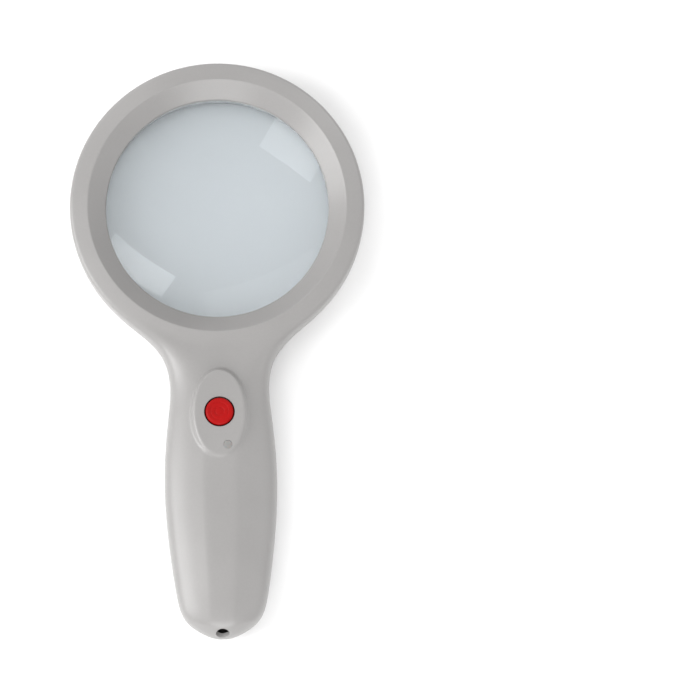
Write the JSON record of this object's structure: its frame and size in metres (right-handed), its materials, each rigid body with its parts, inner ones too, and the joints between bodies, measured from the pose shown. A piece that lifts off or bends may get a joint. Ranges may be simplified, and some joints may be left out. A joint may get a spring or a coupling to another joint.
{
  "type": "low vision magnifier",
  "caption": "Hand-held round magnifier with a broad rim, a rear ring of lamps, a push button on an oval pad and a contoured handle with a charging socket.",
  "frame": {"origin": "under the middle of the whole length and width, on the plane that the rear rim rests on", "axes": "+Z along the lens axis towards the front, +Y from the handle towards the head, +X to the right seen from the front with the head up"},
  "size_m": [0.1378, 0.2734, 0.03],
  "materials": {
    "casing": "fine-textured light grey ABS",
    "lens": "polished clear glass with a faint blue cast",
    "light_window": "clear moulded plastic",
    "reflector": "glossy white",
    "lamp": "clear epoxy dome over yellow phosphor",
    "board": "green solder mask",
    "button": "satin red",
    "indicator": "smoked translucent",
    "black_plastic": "moulded black",
    "white_plastic": "moulded white",
    "green_lamp": "tinted lens",
    "cell": "shrink sleeve, no print",
    "nickel": "nickel-plated spring steel",
    "screw_steel": "zinc-plated",
    "red_lead": "PVC insulation",
    "black_lead": "PVC insulation"
  },
  "bodies": {
    "casing": {"front_shell": "casing", "rear_shell": "casing", "lens": "lens", "light_window": "light_window", "reflector_ring": "reflector", "led_board": "board", "led_01": "lamp", "led_02": "lamp", "led_03": "lamp", "led_04": "lamp", "led_05": "lamp", "led_06": "lamp", "led_07": "lamp", "led_08": "lamp", "led_09": "lamp", "led_10": "lamp", "led_11": "lamp", "led_12": "lamp", "led_13": "lamp", "led_14": "lamp", "led_15": "lamp", "led_16": "lamp", "led_17": "lamp", "led_18": "lamp", "indicator_window": "indicator", "indicator_led": "green_lamp", "main_board": "board", "switch_body": "black_plastic", "switch_spring": "nickel", "battery_tray": "black_plastic", "battery_cell_1": "cell", "battery_cell_2": "cell", "battery_cell_3": "cell", "battery_spring_1": "nickel", "battery_spring_2": "nickel", "battery_spring_3": "nickel", "contact_head_positive": "nickel", "contact_head_bridge": "nickel", "contact_tail_bridge": "nickel", "contact_tail_negative": "nickel", "dc_jack": "black_plastic", "jack_pin": "nickel", "neck_screw_left": "screw_steel", "neck_screw_right": "screw_steel", "board_screw_left": "screw_steel", "board_screw_right": "screw_steel", "tray_screw": "screw_steel", "led_lead_red": "red_lead", "led_lead_black": "black_lead", "jack_lead_red": "red_lead", "jack_lead_black": "black_lead"},
    "button": {"push_button": "button", "switch_plunger": "white_plastic"},
    "cover": {"battery_cover": "casing"}
  },
  "joints": [
    {"name": "button_press", "type": "slide", "parent": "casing", "child": "button", "axis": [0, 0, -1], "range_m": [0, 0.0015], "stiffness_N_per_m": 600, "springref_m": -0.0005, "deforming": ["switch_spring"]},
    {"name": "battery_cover_slide", "type": "slide", "parent": "casing", "child": "cover", "axis": [0, -1, 0], "range_m": [0, 0.1]}
  ]
}
